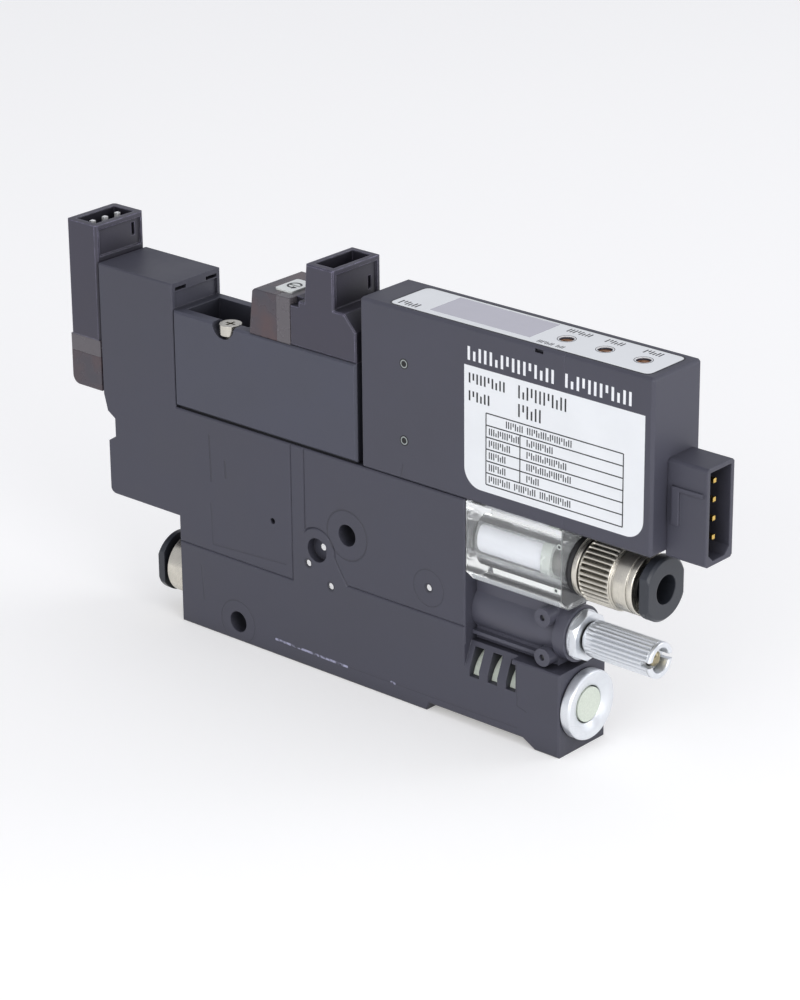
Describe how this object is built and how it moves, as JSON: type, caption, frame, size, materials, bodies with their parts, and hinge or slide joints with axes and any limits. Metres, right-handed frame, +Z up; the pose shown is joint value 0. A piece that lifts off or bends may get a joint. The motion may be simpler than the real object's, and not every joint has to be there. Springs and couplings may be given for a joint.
{
  "type": "vacuum ejector",
  "caption": "Slim pneumatic vacuum ejector with supply and release valves, clear suction filter, silencer, release-flow needle and a pressure sensor with a display on top.",
  "frame": {"origin": "middle of the length and thickness, on the flat underside", "axes": "+X along the unit towards the vacuum port, +Y across its thickness away from the labelled side, +Z up towards the sensor's display"},
  "size_m": [0.1128, 0.01, 0.0603],
  "materials": {
    "body_plastic": "moulded dark slate resin, fine matt grain",
    "valve_plastic": "moulded dark grey resin, fine matt grain",
    "block_plastic": "moulded slate blue resin, fine matt grain",
    "solenoid_plastic": "moulded near-black resin",
    "housing_plastic": "moulded near-black resin, slightly smoother",
    "sensor_plastic": "moulded slate blue resin, fine matt grain",
    "ring_plastic": "dark grey acetal, satin",
    "lamp_smoke": "smoky brown transparent resin",
    "band_clear": "grey-brown translucent resin",
    "override_white": "white resin",
    "white_resin": "natural acetal",
    "clear_resin": "clear polycarbonate, polished",
    "milky_resin": "milky translucent resin",
    "filter_white": "white sintered fibre",
    "silencer_felt": "pale green-white porous resin",
    "label_white": "printed white film",
    "window_tint": "grey-mauve tinted window",
    "nickel": "nickel plate, warm",
    "aluminium": "bright machined aluminium",
    "brass": "turned brass",
    "trimmer_brass": "dark brass, satin",
    "gold": "gold flash",
    "tin_pins": "tinned pins",
    "copper": "enamelled copper winding",
    "pin_steel": "ground steel",
    "needle_steel": "turned stainless steel",
    "spring_steel": "spring wire and strip",
    "screw_steel": "zinc-plated screws",
    "rubber": "black nitrile rubber",
    "board": "green circuit board with dark devices"
  },
  "bodies": {
    "unit": {"ejector_body": "body_plastic", "valve_body": "valve_plastic", "vacuum_body": "body_plastic", "cross_pins": "pin_steel", "nozzle": "brass", "diffuser": "white_resin", "silencer_element": "silencer_felt", "silencer_ring": "aluminium", "supply_fitting": "nickel", "supply_collet": "spring_steel", "supply_tube_seal": "rubber", "supply_end_plug": "valve_plastic", "supply_gasket": "rubber", "supply_solenoid_case": "solenoid_plastic", "supply_clear_band": "band_clear", "supply_lamp_cover": "lamp_smoke", "supply_contacts": "tin_pins", "supply_coil": "copper", "release_block": "block_plastic", "release_block_screws": "screw_steel", "release_gasket": "rubber", "release_solenoid_case": "solenoid_plastic", "release_clear_band": "band_clear", "release_lamp_cover": "lamp_smoke", "release_contacts": "tin_pins", "release_coil": "copper", "filter_cover": "clear_resin", "filter_element": "filter_white", "element_holder": "milky_resin", "check_valve": "rubber", "vacuum_oring": "rubber", "vacuum_fitting": "nickel", "vacuum_collet": "spring_steel", "vacuum_tube_seal": "rubber", "needle_housing": "housing_plastic", "needle_bush": "brass", "needle_clip": "spring_steel", "sensor_case": "sensor_plastic", "sensor_front_cap": "sensor_plastic", "sensor_top_label": "label_white", "sensor_side_label": "label_white", "display_window": "window_tint", "sensor_board": "board", "pressure_cell": "needle_steel", "sensor_plug": "sensor_plastic", "sensor_pins": "gold"},
    "supply_release_ring": {"supply_release_ring": "ring_plastic"},
    "vacuum_release_ring": {"vacuum_release_ring": "ring_plastic"},
    "release_needle": {"needle": "needle_steel", "needle_knob": "aluminium"},
    "lock_nut": {"lock_nut": "aluminium"},
    "mode_trimmer": {"mode_trimmer": "trimmer_brass"},
    "first_set_trimmer": {"first_set_trimmer": "trimmer_brass"},
    "second_set_trimmer": {"second_set_trimmer": "trimmer_brass"},
    "supply_override": {"supply_override": "override_white"},
    "release_override": {"release_override": "override_white"},
    "supply_spool": {"supply_spool": "aluminium"},
    "supply_plunger": {"supply_plunger": "pin_steel"},
    "release_plunger": {"release_plunger": "pin_steel"}
  },
  "joints": [
    {"name": "supply_ring_press", "type": "slide", "parent": "unit", "child": "supply_release_ring", "axis": [1, 0, 0], "range_m": [0, 0.0007], "stiffness_N_per_m": 400},
    {"name": "vacuum_ring_press", "type": "slide", "parent": "unit", "child": "vacuum_release_ring", "axis": [-1, 0, 0], "range_m": [0, 0.0007], "stiffness_N_per_m": 400},
    {"name": "release_needle_turn", "type": "hinge", "parent": "unit", "child": "release_needle", "pos_m": [0.045, 0, 0.0167], "axis": [1, 0, 0], "range_deg": [-1080, 1080]},
    {"name": "lock_nut_turn", "type": "hinge", "parent": "unit", "child": "lock_nut", "pos_m": [0.036, 0, 0.0167], "axis": [1, 0, 0], "range_deg": [0, 90]},
    {"name": "mode_trimmer_turn", "type": "hinge", "parent": "unit", "child": "mode_trimmer", "pos_m": [0.03225, -0.0003, 0.056], "axis": [0, 0, 1], "range_deg": [-135, 135]},
    {"name": "first_set_trimmer_turn", "type": "hinge", "parent": "unit", "child": "first_set_trimmer", "pos_m": [0.03855, -0.0003, 0.056], "axis": [0, 0, 1], "range_deg": [-135, 135]},
    {"name": "second_set_trimmer_turn", "type": "hinge", "parent": "unit", "child": "second_set_trimmer", "pos_m": [0.04475, -0.0003, 0.056], "axis": [0, 0, 1], "range_deg": [-135, 135]},
    {"name": "supply_override_press", "type": "slide", "parent": "unit", "child": "supply_override", "axis": [1, 0, 0], "range_m": [0, 0.0005], "stiffness_N_per_m": 400},
    {"name": "release_override_press", "type": "slide", "parent": "unit", "child": "release_override", "axis": [0, 0, -1], "range_m": [0, 0.0005], "stiffness_N_per_m": 400},
    {"name": "supply_spool_shift", "type": "slide", "parent": "unit", "child": "supply_spool", "axis": [0, 0, 1], "range_m": [0, 0.0012]},
    {"name": "supply_plunger_pull", "type": "slide", "parent": "unit", "child": "supply_plunger", "axis": [0, 0, 1], "range_m": [0, 0.0004], "stiffness_N_per_m": 200},
    {"name": "release_plunger_pull", "type": "slide", "parent": "unit", "child": "release_plunger", "axis": [1, 0, 0], "range_m": [0, 0.0004], "stiffness_N_per_m": 200}
  ]
}
